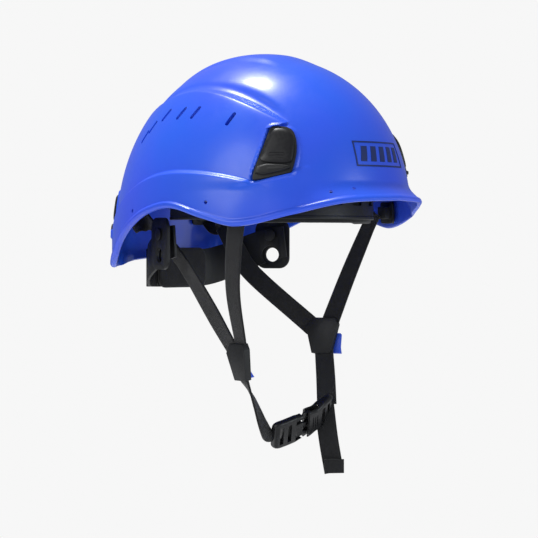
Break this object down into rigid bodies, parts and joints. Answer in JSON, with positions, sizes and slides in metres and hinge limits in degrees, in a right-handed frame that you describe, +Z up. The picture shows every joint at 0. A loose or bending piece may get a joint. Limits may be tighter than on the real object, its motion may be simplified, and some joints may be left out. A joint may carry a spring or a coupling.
{
  "type": "climbing helmet",
  "caption": "Vented climbing helmet with brim, lamp clips, strap suspension, ratchet nape cradle and a Y-shaped chin strap with a side-release buckle.",
  "frame": {"origin": "centre of the headband, where the wearer's head carries the helmet", "axes": "+Z up, -Y to the front, +X to the wearer's left"},
  "size_m": [0.2176, 0.2677, 0.3415],
  "materials": {
    "shell_blue": "glossy moulded ABS with fine orange peel",
    "plastic_black": "fine-textured moulded nylon",
    "webbing_black": "woven polyester webbing",
    "foam_black": "brushed textile over foam",
    "lever_blue": "satin moulded acetal",
    "badge_dark": "printed film",
    "steel": "zinc-plated"
  },
  "bodies": {
    "helmet": {"outer_shell": "shell_blue", "front_badge": "badge_dark", "clip_base_front_right": "plastic_black", "clip_base_front_left": "plastic_black", "clip_base_rear_right": "plastic_black", "clip_base_rear_left": "plastic_black", "suspension_hook_front_right": "plastic_black", "suspension_hook_front_left": "plastic_black", "suspension_hook_rear_right": "plastic_black", "suspension_hook_rear_left": "plastic_black", "crown_strap_right": "webbing_black", "crown_strap_left": "webbing_black", "headband": "plastic_black", "brow_pad": "foam_black", "hanger_lug_right": "plastic_black", "pivot_rivet_right": "plastic_black", "hanger_lug_left": "plastic_black", "pivot_rivet_left": "plastic_black", "front_strap_left": "webbing_black", "rear_strap_left": "webbing_black", "strap_divider_left": "plastic_black", "lower_strap_left": "webbing_black", "strap_tail": "webbing_black", "buckle_female": "plastic_black"},
    "clip_front_right": {"clip_tongue_front_right": "plastic_black"},
    "clip_front_left": {"clip_tongue_front_left": "plastic_black"},
    "clip_rear_right": {"clip_tongue_rear_right": "plastic_black"},
    "clip_rear_left": {"clip_tongue_rear_left": "plastic_black"},
    "nape_cradle": {"nape_arm_right": "plastic_black", "nape_arm_left": "plastic_black", "ratchet_housing": "plastic_black", "ratchet_cover": "plastic_black", "nape_pad": "foam_black"},
    "knob": {"adjuster_knob": "plastic_black", "knob_screw": "steel", "drive_pinion": "plastic_black"},
    "rack_right": {"rack_right": "plastic_black"},
    "rack_left": {"rack_left": "plastic_black"},
    "chin_right": {"front_strap_right": "webbing_black", "rear_strap_right": "webbing_black", "strap_divider_right": "plastic_black", "lower_strap_right": "webbing_black", "buckle_male": "plastic_black"},
    "lever_right": {"divider_lever_right": "lever_blue"},
    "lever_left": {"divider_lever_left": "lever_blue"},
    "prong_upper": {"buckle_prong_upper": "plastic_black"},
    "prong_lower": {"buckle_prong_lower": "plastic_black"}
  },
  "joints": [
    {"name": "tongue_front_right", "type": "hinge", "parent": "helmet", "child": "clip_front_right", "pos_m": [-0.0741, -0.07801, 0.06256], "axis": [-0.548, 0.8365, 0], "range_deg": [0, 12], "stiffness_Nm_per_rad": 0.05},
    {"name": "tongue_front_left", "type": "hinge", "parent": "helmet", "child": "clip_front_left", "pos_m": [0.0741, -0.07801, 0.06256], "axis": [-0.548, -0.8365, 0], "range_deg": [0, 12], "stiffness_Nm_per_rad": 0.05},
    {"name": "tongue_rear_right", "type": "hinge", "parent": "helmet", "child": "clip_rear_right", "pos_m": [-0.06066, 0.10845, 0.01311], "axis": [0.7759, 0.6309, 0], "range_deg": [0, 12], "stiffness_Nm_per_rad": 0.05},
    {"name": "tongue_rear_left", "type": "hinge", "parent": "helmet", "child": "clip_rear_left", "pos_m": [0.06066, 0.10845, 0.01311], "axis": [0.7759, -0.6309, 0], "range_deg": [0, 12], "stiffness_Nm_per_rad": 0.05},
    {"name": "nape_tilt", "type": "hinge", "parent": "helmet", "child": "nape_cradle", "pos_m": [0, 0.04674, -0.02244], "axis": [1, 0, 0], "range_deg": [-6, 6]},
    {"name": "knob_turn", "type": "hinge", "parent": "nape_cradle", "child": "knob", "pos_m": [0, 0.1, -0.05], "axis": [0, 1, 0], "range_deg": [0, 180]},
    {"name": "rack_right_slide", "type": "slide", "parent": "nape_cradle", "child": "rack_right", "axis": [1, 0, 0], "range_m": [0, 0.0158]},
    {"name": "rack_left_slide", "type": "slide", "parent": "nape_cradle", "child": "rack_left", "axis": [-1, 0, 0], "range_m": [0, 0.0158]},
    {"name": "chin_strap_swing", "type": "hinge", "parent": "helmet", "child": "chin_right", "pos_m": [-0.088, -0.044, -0.019], "axis": [0.209, 0.9778, -0.0135], "range_deg": [0, 18]},
    {"name": "lever_right_lift", "type": "hinge", "parent": "chin_right", "child": "lever_right", "pos_m": [-0.05307, -0.02635, -0.12105], "axis": [-0.3254, -0.9456, 0], "range_deg": [0, 60]},
    {"name": "lever_left_lift", "type": "hinge", "parent": "helmet", "child": "lever_left", "pos_m": [0.06678, -0.01294, -0.10559], "axis": [0.2169, -0.9762, 0], "range_deg": [0, 60]},
    {"name": "prong_upper_squeeze", "type": "hinge", "parent": "chin_right", "child": "prong_upper", "pos_m": [-0.01032, -0.03784, -0.17408], "axis": [-0.0189, 0.9215, 0.388], "range_deg": [0, 6], "stiffness_Nm_per_rad": 0.02},
    {"name": "prong_lower_squeeze", "type": "hinge", "parent": "chin_right", "child": "prong_lower", "pos_m": [-0.00154, -0.03213, -0.18722], "axis": [0.0189, -0.9215, -0.388], "range_deg": [0, 6], "stiffness_Nm_per_rad": 0.02}
  ],
  "couplings": [
    {"joint": "rack_right_slide", "follows": "knob_turn", "m_per_rad": 0.005},
    {"joint": "rack_left_slide", "follows": "knob_turn", "m_per_rad": 0.005},
    {"joint": "prong_lower_squeeze", "follows": "prong_upper_squeeze", "ratio": 1}
  ]
}
